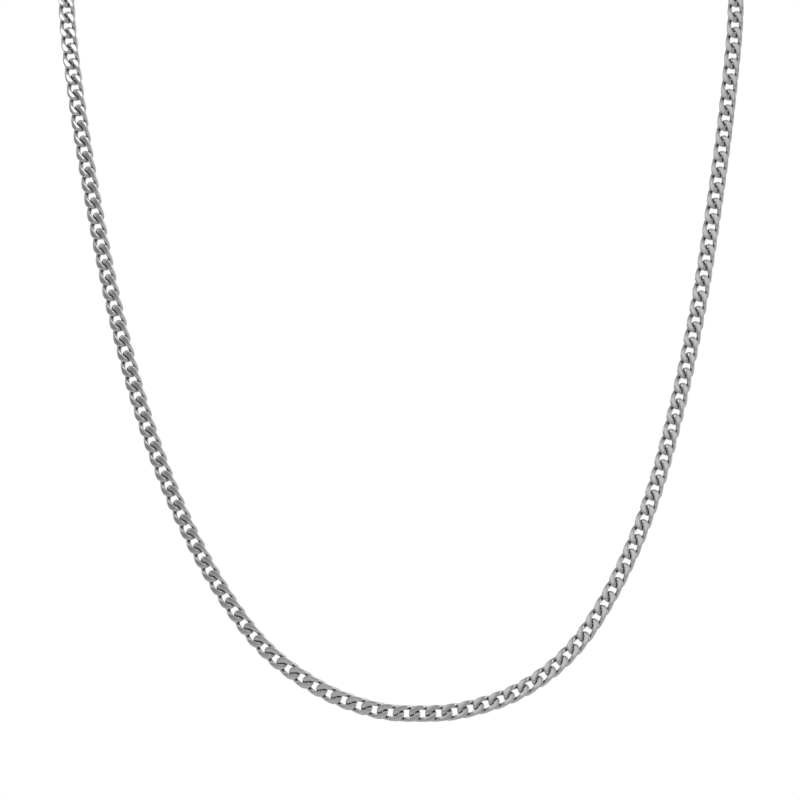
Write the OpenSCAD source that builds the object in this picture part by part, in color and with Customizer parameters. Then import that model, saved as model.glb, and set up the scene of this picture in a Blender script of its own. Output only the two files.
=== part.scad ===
// Cuban link neck chain: 158 twisted and filed curb links, closed by a lobster clasp.
// The loop keeps the form that it has when worn. It is held at the nape, where the origin is.
// X runs to the viewer's right, the front hangs towards -Y, and Z is up. Units are millimetres.

/* [Links] */
// Diameter of the round wire that the links are bent from
wire_d = 0.9; // [0.86:0.01:0.91]
// Width of the chain across its filed faces
chain_w = 3.05; // [3:0.05:3.2]
// Thickness of the chain from filed face to filed face
chain_t = 1.4; // [1.3:0.05:1.6]
// How far the twist lifts the wire's middle, so that one link's wire passes over the next
twist_rise = 0.68; // [0.67:0.01:0.72]
// Clear space where two links bear on each other
link_gap = 0.18; // [0.17:0.01:0.2]
// Number of links round the loop, half of them in each side
link_count = 158; // [156:2:160]

/* [Clasp] */
// Outer width of the claw
claw_w = 4.8; // [4.6:0.1:5.2]
// Thickness of the claw's hook
claw_t = 1.2; // [1:0.1:1.3]
// Length of the claw's straight sides
claw_side = 1; // [0.8:0.1:1.4]
// Thickness of the root that joins the claw to the neck of the eye
root_d = 1.8; // [1.6:0.1:2]
// Thickness of the neck where it meets the eye
neck_d = 0.84; // [0.74:0.02:0.9]
// Distance from the middle of the claw to the middle of the eye
clasp_reach = 5.6; // [5.4:0.1:6.4]
// Outer width of the eye that the small ring goes through
eye_w = 3.4; // [3.3:0.1:3.6]
// Thickness of the eye
eye_t = 0.7; // [0.6:0.05:0.8]
// Thickness of the thumb lever
lever_d = 0.72; // [0.6:0.02:0.8]
// How far the thumb lever stands out from the claw
lever_l = 1.2; // [1:0.1:1.4]

/* [Rings] */
// Outer diameter of the ring that the claw hooks
hook_ring_d = 4.8; // [4.6:0.1:5.2]
// Outer diameter of the ring that holds the clasp's eye
end_ring_d = 4; // [3.9:0.1:4.4]
// Wire diameter of both rings
ring_wire_d = 0.7; // [0.6:0.05:0.8]
// Lean of each ring, which lets it pass square through the twisted end link
ring_lean = 30; // [26:1:34]

/* [Hidden] */
$fn = 48;

silver = [0.75, 0.75, 0.76];

// The hang of the loop, one row for each pair of places on its left and right side, from the
// nape down to the lowest link. The columns are the drop below the nape, half the width of the
// loop there, the middle's shift to the right, the depth in front of the nape, the lean of the
// chain's face from the front (0) up and over (90 is up), and the face's turn away from the
// inside of the loop on the left and on the right side.
DROP = 0;
HALF = 1;
MIDDLE = 2;
DEPTH = 3;
FACE = 4;
TURN_LEFT = 5;
TURN_RIGHT = 6;
stations = [
    [0, 0, 0, 0, 100, 0, 0],
    [0.2, 16, 0, 1.4, 98, 0, 0],
    [0.8, 31, 0, 5.5, 92, 0, 0],
    [2.6, 43.6, 0, 11.6, 78, 0, 0],
    [6.6, 52.6, 0, 18, 55, 0, 0],
    [13.2, 57.4, 0.1, 23.4, 32, 3, -1],
    [23, 58.4, 0.2, 27, 15, 6, -2],
    [40, 56.7, 0.4, 31.3, 8, 15, -4],
    [58, 54, 0.7, 35.6, 4, 21, -8],
    [76, 50.7, 1.1, 40, 2, 22, -14],
    [94, 46.3, 1.6, 44.3, 0, 17, -17],
    [110, 41, 2.3, 48.1, 0, 18, -15],
    [124, 34.3, 2.9, 51.5, 0, 17, -12],
    [135, 26.5, 3.4, 54.1, 0, 16, -14],
    [142, 17.1, 3.8, 55.8, 0, 15, -15],
    [145.4, 7.5, 3.5, 56.6, 0, 8, -10],
    [146, 0, 3.3, 56.8, 0, -1, -1]
];
row_count = len(stations);
// Steps of the smooth curve between two stations
curve_steps = 20;

// Sections round a link and sides round its wire
link_sides = 10;
wire_sides = 5;
// Where round the wire its first corner is: facing into the link, which leaves the most room
first_corner = 270;

wire_r = wire_d / 2;
claw_r = (claw_w - claw_t) / 2;
eye_r = (eye_w - eye_t) / 2;
hook_ring_r = (hook_ring_d - ring_wire_d) / 2;
end_ring_r = (end_ring_d - ring_wire_d) / 2;
// Middle of the loop at the nape, with the claw's edge at the origin
nape_y = claw_w / 2;

// Cubic curve through b and c, with its ends led by a and d
function curve(a, b, c, d, t) =
    0.5 * (2 * b + (c - a) * t + (2 * a - 5 * b + 4 * c - d) * t * t
        + (3 * b - a - 3 * c + d) * t * t * t);
function unit(v) = v / norm(v);
function place(v) = [v.x, v.y, v.z];

// The loop's middle line as places with their face and turn, from the nape down the left side,
// along the bottom and up the right side
left_places = [
    for (row = stations)
        [row[MIDDLE] - row[HALF], nape_y - row[DEPTH], -row[DROP], row[FACE], row[TURN_LEFT]]
];
right_places = [
    for (i = [row_count - 2:-1:1])
        let (row = stations[i])
        [row[MIDDLE] + row[HALF], nape_y - row[DEPTH], -row[DROP], row[FACE], row[TURN_RIGHT]]
];
places = concat(left_places, right_places);
place_count = len(places);
path = [
    for (i = [0:place_count], k = [0:i < place_count ? curve_steps - 1 : 0])
        curve(
            places[(i + place_count - 1) % place_count],
            places[i % place_count],
            places[(i + 1) % place_count],
            places[(i + 2) % place_count],
            k / curve_steps
        )
];
path_count = len(path);
steps_along = [for (i = [1:path_count - 1]) norm(place(path[i]) - place(path[i - 1]))];
// Distance along the loop of each point of the path
arcs = [for (i = 0, s = 0; i < path_count; s = s + (i < path_count - 1 ? steps_along[i] : 0), i = i + 1) s];
loop_length = arcs[path_count - 1];
path_tables = [for (k = [0:4]) [for (i = [0:path_count - 1]) [arcs[i], path[i][k]]]];

// The clasp and its rings fill this stretch at the nape, from end link to end link
hook_reach = 2 * hook_ring_r - ring_wire_d - wire_r - claw_t / 2 - 2 * link_gap;
end_reach = 2 * end_ring_r - ring_wire_d - wire_r - eye_t / 2 - 2 * link_gap;
clasp_length = claw_side / 2 + claw_r + clasp_reach + eye_r;
end_bend = wire_r + link_gap / 2;
clasp_span = hook_reach + clasp_length + end_reach + 2 * end_bend;
pitch = (loop_length - clasp_span) / link_count;

// A link's own oval: half its length and half its width along the wire's middle
oval_a = pitch / 2 + wire_r + link_gap / 2;
oval_b = (chain_w - wire_d) / 2;

// Places along the loop, counted from the nape down the left side: where the chain starts, the
// claw's far end and the eye's far end, and the middles of the clasp and of each ring
chain_start = clasp_span / 2;
claw_end = end_bend + hook_reach - clasp_span / 2;
eye_end = claw_end + clasp_length;
clasp_at = (claw_end + eye_end) / 2;
hook_ring_at = claw_end - hook_reach + hook_ring_r - ring_wire_d / 2 - wire_r - link_gap;
end_ring_at = eye_end + end_ring_r - ring_wire_d / 2 - eye_t / 2 - link_gap;

function along(s) =
    let (u = (s % loop_length + loop_length) % loop_length)
    [for (table = path_tables) lookup(u, table)];

// Axes of the link whose ends bear at s - pitch / 2 and s + pitch / 2, then its middle
function axes_at(s) =
    let (
        here = along(s),
        ahead = place(along(s + pitch / 2)),
        behind = place(along(s - pitch / 2)),
        x_dir = unit(ahead - behind),
        face = [0, -cos(here[3]), sin(here[3])],
        flat = unit(face - (face * x_dir) * x_dir),
        side = cross(flat, x_dir),
        z_dir = flat * cos(here[4]) - side * sin(here[4])
    )
    [x_dir, cross(z_dir, x_dir), z_dir, (ahead + behind) / 2];

// Middle of a link's wire at angle t, the way that it runs there, and the filing of its faces
function oval(t) = [oval_a * cos(t), oval_b * sin(t), -twist_rise * sin(2 * t)];
function oval_run(t) = unit([-oval_a * sin(t), oval_b * cos(t), -2 * twist_rise * cos(2 * t)]);
function filed(p) = [p.x, p.y, max(-chain_t / 2, min(chain_t / 2, p.z))];

// Points of one link about its own middle, a ring of wire_sides for each section
link_points = [
    for (i = [0:link_sides - 1])
        let (
            t = i * 360 / link_sides,
            run = oval_run(t),
            rise = unit([0, 0, 1] - run.z * run),
            out = cross(run, rise)
        )
        for (k = [0:wire_sides - 1])
            let (u = first_corner + k * 360 / wire_sides)
            filed(oval(t) + wire_r * (rise * cos(u) + out * sin(u)))
];
link_faces = [
    for (i = [0:link_sides - 1], k = [0:wire_sides - 1])
        let (
            j = (i + 1) % link_sides,
            m = (k + 1) % wire_sides,
            a = i * wire_sides + k,
            b = j * wire_sides + k,
            c = j * wire_sides + m,
            d = i * wire_sides + m
        )
        for (face = [[a, b, c], [a, c, d]])
            face
];
points_per_link = link_sides * wire_sides;

// Links first to last of the loop, counted from the nape down the left side
module links(first, last) {
    points = [
        for (n = [first:last])
            let (axes = axes_at(chain_start + (n + 0.5) * pitch))
            for (p = link_points)
                axes[3] + p.x * axes[0] + p.y * axes[1] + p.z * axes[2]
    ];
    faces = [
        for (n = [0:last - first])
            for (face = link_faces)
                [for (corner = face) corner + n * points_per_link]
    ];
    polyhedron(points, faces);
}

module chain_left() {
    color(silver) links(0, link_count / 2 - 1);
}

module chain_right() {
    color(silver) links(link_count / 2, link_count - 1);
}

// Puts a piece at a distance along the loop, with X along it, Y to its inside and Z out of its face
module on_loop(distance) {
    axes = axes_at(distance);
    multmatrix([
        [axes[0].x, axes[1].x, axes[2].x, axes[3].x],
        [axes[0].y, axes[1].y, axes[2].y, axes[3].y],
        [axes[0].z, axes[1].z, axes[2].z, axes[3].z]
    ])
        children();
}

// Round wire bent about the origin, from angle 0 to turn
module bent_wire(middle_r, thick, turn = 360) {
    rotate_extrude(angle = turn) translate([middle_r, 0]) circle(d = thick);
}

// The claw's closed hook, long along X and open in the middle
module claw() {
    for (end = [-1, 1]) {
        translate([end * claw_side / 2, 0, 0])
            rotate([0, 0, -90 * end])
            bent_wire(claw_r, claw_t, 180);
        translate([-claw_side / 2, end * claw_r, 0])
            rotate([0, 90, 0])
            cylinder(h = claw_side, d = claw_t);
    }
}

// The root and the tapered neck between the claw and the eye
module clasp_neck() {
    root_x = claw_side / 2 + claw_r;
    translate([root_x, 0, 0]) {
        sphere(d = root_d);
        rotate([0, 90, 0])
            cylinder(h = clasp_reach - eye_r - root_x, d1 = root_d, d2 = neck_d);
    }
}

// The thumb lever, a round-ended stub on the claw's outer side
module lever() {
    stub_l = (claw_t - lever_d) / 2 + lever_l;
    translate([claw_side / 2, -claw_r, 0]) {
        rotate([90, 0, 0])
            cylinder(h = stub_l, d = lever_d);
        translate([0, -stub_l, 0])
            sphere(d = lever_d);
    }
}

module clasp() {
    middle_x = (clasp_reach + eye_r - claw_r - claw_side / 2) / 2;
    color(silver)
        on_loop(clasp_at)
        translate([-middle_x, 0, 0]) {
            claw();
            clasp_neck();
            lever();
            translate([clasp_reach, 0, 0]) bent_wire(eye_r, eye_t);
        }
}

module hook_ring() {
    color(silver)
        on_loop(hook_ring_at)
        rotate([90 - ring_lean, 0, 0])
        bent_wire(hook_ring_r, ring_wire_d);
}

module end_ring() {
    color(silver)
        on_loop(end_ring_at)
        rotate([90 + ring_lean, 0, 0])
        bent_wire(end_ring_r, ring_wire_d);
}

chain_left();
chain_right();
clasp();
hook_ring();
end_ring();
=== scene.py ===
"""Looks of a cuban link neck chain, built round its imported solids. All lengths are in metres."""

import logging
import math
from dataclasses import dataclass, field
from enum import Enum

import bmesh
import bpy
import numpy as np
from mathutils import Matrix, Vector


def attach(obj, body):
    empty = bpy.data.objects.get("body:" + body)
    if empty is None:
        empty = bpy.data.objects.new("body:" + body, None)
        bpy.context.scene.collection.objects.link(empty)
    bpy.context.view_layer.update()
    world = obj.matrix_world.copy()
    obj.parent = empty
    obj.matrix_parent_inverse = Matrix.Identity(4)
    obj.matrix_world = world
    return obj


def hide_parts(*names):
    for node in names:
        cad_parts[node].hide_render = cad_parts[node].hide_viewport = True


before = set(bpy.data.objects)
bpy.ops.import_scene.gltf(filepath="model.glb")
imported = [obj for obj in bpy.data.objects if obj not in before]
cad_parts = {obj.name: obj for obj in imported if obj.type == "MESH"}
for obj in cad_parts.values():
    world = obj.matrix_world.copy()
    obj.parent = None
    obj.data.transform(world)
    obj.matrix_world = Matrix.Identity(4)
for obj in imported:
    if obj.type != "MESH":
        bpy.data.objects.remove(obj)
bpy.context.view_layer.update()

MM = 0.001
BODY = "root"
# The colour Mix node's sockets by number, because its sockets for other types share their names
MIX_FACTOR, MIX_FIRST, MIX_SECOND, MIX_RESULT = 0, 6, 7, 2
log = logging.getLogger("neck_chain")


def linear(hex_colour: str) -> tuple[float, float, float, float]:
    """Turns an sRGB hex colour into linear values for a shader, by the sRGB standard's curve.

    Args:
        hex_colour: The colour as #RRGGBB.

    Returns:
        Linear red, green and blue, then an alpha of 1.
    """
    channels = [int(hex_colour[i : i + 2], 16) / 255 for i in (1, 3, 5)]
    values = [c / 12.92 if c <= 0.04045 else ((c + 0.055) / 1.055) ** 2.4 for c in channels]
    return (*values, 1.0)


def add_node(
    tree: bpy.types.NodeTree,
    kind: str,
    settings: dict[str | int, object] | None = None,
    links: dict[str | int, bpy.types.NodeSocket] | None = None,
) -> bpy.types.Node:
    """Adds a shader node with its settings and links.

    Args:
        tree: The node tree that takes the node.
        kind: The node's type name.
        settings: Properties by name, and constant inputs by name or number.
        links: Inputs by name or number, each with the output that feeds it.

    Returns:
        The new node.
    """
    node = tree.nodes.new(kind)
    for name, value in (settings or {}).items():
        if isinstance(name, str) and hasattr(node, name):
            setattr(node, name, value)
        else:
            node.inputs[name].default_value = value
    for name, socket in (links or {}).items():
        tree.links.new(socket, node.inputs[name])
    return node


@dataclass(frozen=True)
class PolishedSteel:
    """Stainless steel wire, filed flat on the chain's faces and tumbled to a soft polish.

    The tumbling leaves a bright skin with a fine haze, which blurs what it mirrors, and some
    links are hazier than others. In the slits between links the colour is painted dark: mostly
    painted shade where the neighbours shadow the metal, partly a thin film that polishing doesn't
    reach.
    """

    name: str = "polished_steel_tumbled"
    bright: str = "#C9CACC"
    # The dark colour of the painted shade, which stands in for the shade in the slits between links
    painted_shade: str = "#2A2B2D"
    roughness: float = 0.11
    haze: float = 0.06
    haze_grain_mm: float = 0.35
    haze_detail: float = 3.0
    # The real marks are some 0.02 mm apart, too fine to show, so they are drawn coarser
    mark_spacing_mm: float = 0.12
    mark_detail: float = 2.0
    mark_depth_mm: float = 0.0015

    def material(self) -> bpy.types.Material:
        """Makes the material.

        Returns:
            The finished material.
        """
        material = bpy.data.materials.new(self.name)
        material.use_nodes = True
        tree = material.node_tree
        shader = tree.nodes["Principled BSDF"]
        shader.inputs["Metallic"].default_value = 1.0
        place = add_node(tree, "ShaderNodeTexCoord").outputs["Object"]
        # How much painted shade each point takes, from its nearness to the neighbouring links
        slit_shade = add_node(tree, "ShaderNodeAttribute", {"attribute_name": "slit_shade"}).outputs["Fac"]
        wear = add_node(tree, "ShaderNodeAttribute", {"attribute_name": "wear"}).outputs["Fac"]
        haze = add_node(
            tree,
            "ShaderNodeTexNoise",
            {"Scale": 1 / (self.haze_grain_mm * MM), "Detail": self.haze_detail},
            {"Vector": place},
        )
        marks = add_node(
            tree,
            "ShaderNodeTexNoise",
            {"Scale": 1 / (self.mark_spacing_mm * MM), "Detail": self.mark_detail},
            {"Vector": place},
        )
        # Paints shade into the steel's colour in the slits between links
        skin = add_node(
            tree,
            "ShaderNodeMix",
            {
                "data_type": "RGBA",
                MIX_FIRST: linear(self.bright),
                MIX_SECOND: linear(self.painted_shade),
            },
            {MIX_FACTOR: slit_shade},
        )
        tree.links.new(skin.outputs[MIX_RESULT], shader.inputs["Base Color"])
        grain = add_node(
            tree,
            "ShaderNodeMapRange",
            {"To Min": self.roughness - self.haze / 2, "To Max": self.roughness + self.haze / 2},
            {"Value": haze.outputs["Fac"]},
        )
        roughness = add_node(
            tree,
            "ShaderNodeMath",
            {"operation": "MULTIPLY_ADD", 1: self.haze},
            {0: wear, 2: grain.outputs["Result"]},
        )
        tree.links.new(roughness.outputs[0], shader.inputs["Roughness"])
        bump = add_node(
            tree,
            "ShaderNodeBump",
            {"Strength": 1.0, "Distance": self.mark_depth_mm * MM},
            {"Height": marks.outputs["Fac"]},
        )
        tree.links.new(bump.outputs["Normal"], shader.inputs["Normal"])
        return material


@dataclass(frozen=True)
class MattPaint:
    """Matt emulsion paint rolled on the studio's floor, which looks pale and has no gloss."""

    name: str = "floor_matt_paint"
    colour: str = "#F4F4F4"
    roughness: float = 0.9

    def material(self) -> bpy.types.Material:
        """Makes the material.

        Returns:
            The finished material.
        """
        material = bpy.data.materials.new(self.name)
        material.use_nodes = True
        shader = material.node_tree.nodes["Principled BSDF"]
        shader.inputs["Base Color"].default_value = linear(self.colour)
        shader.inputs["Roughness"].default_value = self.roughness
        return material


class Side(Enum):
    """The two halves of the chain, by the frame's node names."""

    LEFT = "chain_left"
    RIGHT = "chain_right"


@dataclass
class CurbLink:
    """One curb link: an oval of round wire, twisted along its length and filed on faces and sides.

    Its own axes are X along the chain, Y across it and Z out of its face. The tumbling that
    follows the file leaves each filed face a little domed, with soft rims.
    """

    wire_d: float = 1.0 * MM
    half_width: float = 1.13 * MM
    twist_rise: float = 0.7 * MM
    # The power of the oval's outline: 2 is an ellipse, and more is squarer
    squareness: float = 2.0
    chain_w: float = 3.0 * MM
    chain_t: float = 1.4 * MM
    dome: float = 0.35 * MM
    side_dome: float = 0.28 * MM
    gap: float = 0.07 * MM
    pitch: float = 2.81 * MM
    # How far from a neighbouring link the painted shade of the slits fades out
    shade_reach: float = 0.4 * MM
    sections: int = 60
    sides: int = 20
    # The small turn, in radians, over which the wire's direction is taken
    turn_step: float = 0.001

    def middle(self, t: float) -> Vector:
        """Follows the middle of the wire.

        Args:
            t: The angle round the link, in radians, from the end at +X.

        Returns:
            The wire's middle there.
        """
        half_length = (self.pitch + self.wire_d + self.gap) / 2
        power = self.squareness
        reach = (abs(math.cos(t)) ** power + abs(math.sin(t)) ** power) ** (1 / power)
        return Vector(
            (
                half_length * math.cos(t) / reach,
                self.half_width * math.sin(t) / reach,
                -self.twist_rise * math.sin(2 * t),
            )
        )

    @staticmethod
    def filed(value: float, limit: float, dome: float) -> float:
        """Takes a coordinate to where the file and the tumbling leave it.

        Args:
            value: The coordinate on the round wire, across the chain or out of its face.
            limit: Half the filed chain's size that way, which is never passed.
            dome: How far inside the limit the file starts to take metal off.

        Returns:
            The coordinate on the filed link.
        """
        start = limit - dome
        if abs(value) <= start:
            return value
        return math.copysign(limit - dome * math.exp(-(abs(value) - start) / dome), value)

    def section(self, t: float) -> list[tuple[float, float, float]]:
        """Cuts the wire across.

        Args:
            t: The angle round the link, in radians.

        Returns:
            The points round the filed wire there.
        """
        middle = self.middle(t)
        run = (self.middle(t + self.turn_step) - self.middle(t - self.turn_step)).normalized()
        rise = (Vector((0, 0, 1)) - run * run.z).normalized()
        out = run.cross(rise)
        points = []
        for k in range(self.sides):
            u = 2 * math.pi * k / self.sides
            point = middle + (rise * math.cos(u) + out * math.sin(u)) * (self.wire_d / 2)
            point.y = self.filed(point.y, self.chain_w / 2, self.side_dome)
            point.z = self.filed(point.z, self.chain_t / 2, self.dome)
            points.append(tuple(point))
        return points

    def skin(self) -> tuple[np.ndarray, np.ndarray]:
        """Lays the sections round the link.

        Returns:
            The points, one section after the other, and how much painted shade each one carries.
            The painted shade is full where a neighbour touches and fades out over the shade's
            reach.
        """
        turns = [2 * math.pi * i / self.sections for i in range(self.sections)]
        points = np.array([point for t in turns for point in self.section(t)])
        middles = np.array([self.middle(t) for t in turns])
        step = np.array((self.pitch, 0.0, 0.0))
        neighbours = np.vstack((middles + step, middles - step))
        away = np.linalg.norm(points[:, None] - neighbours, axis=2).min(axis=1)
        space = away - self.wire_d / 2
        return points, np.clip(1 - space / self.shade_reach, 0, 1)

    def quads(self) -> np.ndarray:
        """Joins each section to the next.

        Returns:
            The corners of the link's faces, as places in the list of its points.
        """
        here = np.arange(self.sections)[:, None] * self.sides
        ahead = np.roll(here, -1, axis=0)
        k = np.arange(self.sides)
        after = np.roll(k, -1)
        return np.stack((here + k, ahead + k, ahead + after, here + after), axis=2).reshape(-1, 4)


@dataclass
class ChainSide:
    """Half of the chain: each of its links set where the frame's link is."""

    side: Side
    link: CurbLink = field(default_factory=CurbLink)
    # Corners of the frame's mesh that are nearer than this are one corner
    weld: float = 0.001 * MM
    seed: int = 7

    def places(self) -> list[Matrix]:
        """Finds each link of the frame's node, as the corners that edges join to one another.

        Returns:
            A matrix for each link, with X along the chain and Z out of its face.
        """
        solids = bmesh.new()
        solids.from_mesh(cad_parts[self.side.value].data)
        bmesh.ops.remove_doubles(solids, verts=solids.verts, dist=self.weld)
        solids.verts.ensure_lookup_table()
        seen: set[int] = set()
        found = []
        for start in solids.verts:
            if start.index in seen:
                continue
            seen.add(start.index)
            waiting, corners = [start], []
            while waiting:
                vert = waiting.pop()
                corners.append(tuple(vert.co))
                for edge in vert.link_edges:
                    other = edge.other_vert(vert)
                    if other.index not in seen:
                        seen.add(other.index)
                        waiting.append(other)
            found.append(self.axes_of(np.array(corners)))
        solids.free()
        return found

    @staticmethod
    def axes_of(corners: np.ndarray) -> Matrix:
        """Works out a link's place and axes from the spread of its corners.

        Args:
            corners: The corners of one link of the frame.

        Returns:
            Its matrix. A link looks the same turned half round each axis, so signs don't matter.
        """
        middle = corners.mean(axis=0)
        _, _, rows = np.linalg.svd(corners - middle, full_matrices=False)
        along, across = rows[0], rows[1]
        out = np.cross(along, across)
        matrix = Matrix.Identity(4)
        for column, axis in enumerate((along, across, out)):
            for row in range(3):
                matrix[row][column] = axis[row]
        matrix.translation = Vector(middle)
        return matrix

    def build(self) -> bpy.types.Object:
        """Makes the half as one joined mesh, which carries each point's painted shade and wear.

        Returns:
            The object, in place.
        """
        places = self.places()
        shape, painted_shade = self.link.skin()
        quads = self.link.quads()
        chance = np.random.default_rng(self.seed)
        points, faces, wear = [], [], []
        for n, place in enumerate(places):
            matrix = np.array(place)
            points.append(shape @ matrix[:3, :3].T + matrix[:3, 3])
            faces.append(quads + n * len(shape))
            wear.append(np.full(len(shape), chance.random()))
        mesh = bpy.data.meshes.new(f"{self.side.value}_links")
        mesh.from_pydata(np.vstack(points).tolist(), [], np.vstack(faces).tolist())
        mesh.polygons.foreach_set("use_smooth", [True] * len(mesh.polygons))
        # The painted shade of the slits, the same on every link
        slit_shade = np.tile(painted_shade, len(places))
        for name, values in (("slit_shade", slit_shade), ("wear", np.concatenate(wear))):
            attribute = mesh.attributes.new(name, "FLOAT", "POINT")
            attribute.data.foreach_set("value", values.astype(np.float32))
        obj = bpy.data.objects.new(mesh.name, mesh)
        bpy.context.scene.collection.objects.link(obj)
        log.info("%s: %d links, %d faces", obj.name, len(places), len(mesh.polygons))
        return obj

    def dress(self, obj: bpy.types.Object, material: bpy.types.Material) -> None:
        """Gives the half its finish and puts it in the frame's place.

        Args:
            obj: The half's links.
            material: The finish of the steel.
        """
        obj.data.materials.append(material)
        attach(obj, BODY)
        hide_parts(self.side.value)


@dataclass(frozen=True)
class Closure:
    """The clasp and the two rings at the nape, which show the frame's own solids."""

    names: tuple[str, ...] = ("clasp", "hook_ring", "end_ring")

    def dress(self, material: bpy.types.Material) -> None:
        """Gives each of the pieces its finish.

        Args:
            material: The finish of the steel.
        """
        for name in self.names:
            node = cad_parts[name]
            node.data.materials.clear()
            node.data.materials.append(material)
            log.info("%s: dressed", name)


@dataclass(frozen=True)
class Glow:
    """A soft light round the piece, as a bright patch of the studio's walls.

    Angles are in degrees. Azimuth 0 is behind the camera, 90 to the viewer's right and 180 behind
    the piece. The patch is full up to the inner angle from its middle and gone at the outer one.
    A strength below zero is a dark card, which leaves the walls duller there.
    """

    azimuth: float
    elevation: float
    inner: float
    outer: float
    strength: float

    def draw(
        self, tree: bpy.types.NodeTree, direction: bpy.types.NodeSocket
    ) -> bpy.types.NodeSocket:
        """Draws the patch with the nodes of the studio's walls.

        Args:
            tree: The nodes of the walls.
            direction: The way that a ray looks.

        Returns:
            The patch's brightness that way.
        """
        azimuth, elevation = math.radians(self.azimuth), math.radians(self.elevation)
        towards = (
            math.sin(azimuth) * math.cos(elevation),
            -math.cos(azimuth) * math.cos(elevation),
            math.sin(elevation),
        )
        near = add_node(
            tree,
            "ShaderNodeVectorMath",
            {"operation": "DOT_PRODUCT", 1: towards},
            {0: direction},
        )
        patch = add_node(
            tree,
            "ShaderNodeMapRange",
            {
                "interpolation_type": "SMOOTHSTEP",
                "From Min": math.cos(math.radians(self.outer)),
                "From Max": math.cos(math.radians(self.inner)),
                "To Max": self.strength,
            },
            {"Value": near.outputs["Value"]},
        )
        return patch.outputs["Result"]


@dataclass(frozen=True)
class Panel:
    """A round soft lamp near the piece: where it hangs, what it faces, its width and its power."""

    place: tuple[float, float, float]
    facing: tuple[float, float, float]
    width: float
    watts: float

    def hang(self) -> None:
        """Hangs the lamp."""
        data = bpy.data.lights.new("panel", "AREA")
        data.shape = "DISK"
        data.size = self.width
        data.energy = self.watts
        lamp = bpy.data.objects.new("panel", data)
        lamp.location = self.place
        towards = Vector(self.facing) - Vector(self.place)
        lamp.rotation_euler = towards.to_track_quat("-Z", "Y").to_euler()
        bpy.context.scene.collection.objects.link(lamp)


@dataclass
class Studio:
    """Pale floor, soft light and a straight front camera with a long lens."""

    view_width: float = 139.13 * MM
    view_middle: Vector = field(default_factory=lambda: Vector((0, -42 * MM, -91.6 * MM)))
    lens_mm: float = 1200.0
    sensor_mm: float = 36.0
    floor_z: float = -400 * MM
    floor_r: float = 1.5
    floor_rim: float = 0.02
    floor_sides: int = 128
    paint: MattPaint = MattPaint()
    room: float = 0.55
    # What the camera sees behind the piece: a white sweep
    sweep: str = "#FFFFFF"
    glows: tuple[Glow, ...] = (
        Glow(75, 28, 8, 28, 1.4),
        Glow(165, 28, 8, 28, 1.2),
        Glow(-150, 3, 8, 28, 2.0),
        Glow(135, 3, 18, 36, 0.7),
        Glow(75, 3, 10, 26, 0.3),
        Glow(-90, 28, 22, 38, 0.3),
        Glow(-15, 28, 10, 28, 0.4),
        Glow(-25, 54, 20, 36, 0.2),
        Glow(-47, 17, 6, 22, -0.15),
    )
    panels: tuple[Panel, ...] = (
        Panel((-108 * MM, -150 * MM, 35 * MM), (-57 * MM, -27 * MM, -32 * MM), 56 * MM, 0.012),
    )

    def camera(self) -> None:
        """Puts the camera in front of the piece, with the picture's width at the chain's depth."""
        data = bpy.data.cameras.new("camera")
        data.lens = self.lens_mm
        data.sensor_width = self.sensor_mm
        camera = bpy.data.objects.new("camera", data)
        away = self.view_width * self.lens_mm / self.sensor_mm
        camera.location = self.view_middle + Vector((0, -away, 0))
        camera.rotation_euler = (math.radians(90), 0, 0)
        bpy.context.scene.collection.objects.link(camera)
        bpy.context.scene.camera = camera

    def floor(self) -> None:
        """Lays a round, pale, matt floor under the piece, with a rim."""
        mesh = bpy.data.meshes.new("floor")
        plan = bmesh.new()
        bmesh.ops.create_circle(
            plan, cap_ends=True, radius=self.floor_r, segments=self.floor_sides
        )
        bmesh.ops.translate(plan, verts=plan.verts, vec=(0, 0, self.floor_z))
        grown = bmesh.ops.extrude_face_region(plan, geom=plan.faces[:])
        low = [item for item in grown["geom"] if isinstance(item, bmesh.types.BMVert)]
        bmesh.ops.translate(plan, verts=low, vec=(0, 0, -self.floor_rim))
        bmesh.ops.recalc_face_normals(plan, faces=plan.faces)
        plan.to_mesh(mesh)
        plan.free()
        mesh.materials.append(self.paint.material())
        floor = bpy.data.objects.new("floor", mesh)
        bpy.context.scene.collection.objects.link(floor)

    def light(self) -> None:
        """Lights the piece from the walls of a pale studio, white where the camera sees them."""
        world = bpy.data.worlds.new("studio")
        bpy.context.scene.world = world
        world.use_nodes = True
        tree = world.node_tree
        tree.nodes.clear()
        direction = add_node(tree, "ShaderNodeTexCoord").outputs["Generated"]
        level = None
        for glow in self.glows:
            patch = glow.draw(tree, direction)
            total = add_node(tree, "ShaderNodeMath", {"operation": "ADD", 0: self.room}, {1: patch})
            # Only the first sum starts from the room's own level, the others from the sum before
            if level is not None:
                tree.links.new(level, total.inputs[0])
            level = total.outputs[0]
        walls = add_node(tree, "ShaderNodeBackground", links={"Strength": level})
        sweep = add_node(
            tree, "ShaderNodeBackground", {"Color": linear(self.sweep), "Strength": 1.0}
        )
        seen = add_node(tree, "ShaderNodeLightPath").outputs["Is Camera Ray"]
        both = add_node(
            tree,
            "ShaderNodeMixShader",
            links={0: seen, 1: walls.outputs[0], 2: sweep.outputs[0]},
        )
        add_node(tree, "ShaderNodeOutputWorld", links={"Surface": both.outputs[0]})
        bpy.context.scene.view_settings.view_transform = "Standard"

    def build(self) -> None:
        """Sets up the camera, the floor and the lights."""
        self.camera()
        self.floor()
        self.light()
        for panel in self.panels:
            panel.hang()
        log.info("studio: camera, floor, %d glows, %d lamps", len(self.glows), len(self.panels))


def main() -> None:
    """Builds and dresses every piece."""
    logging.basicConfig(level=logging.INFO, format="%(name)s: %(message)s")
    Studio().build()
    steel = PolishedSteel().material()
    for side in Side:
        half = ChainSide(side)
        half.dress(half.build(), steel)
    Closure().dress(steel)


if __name__ == "__main__":
    main()
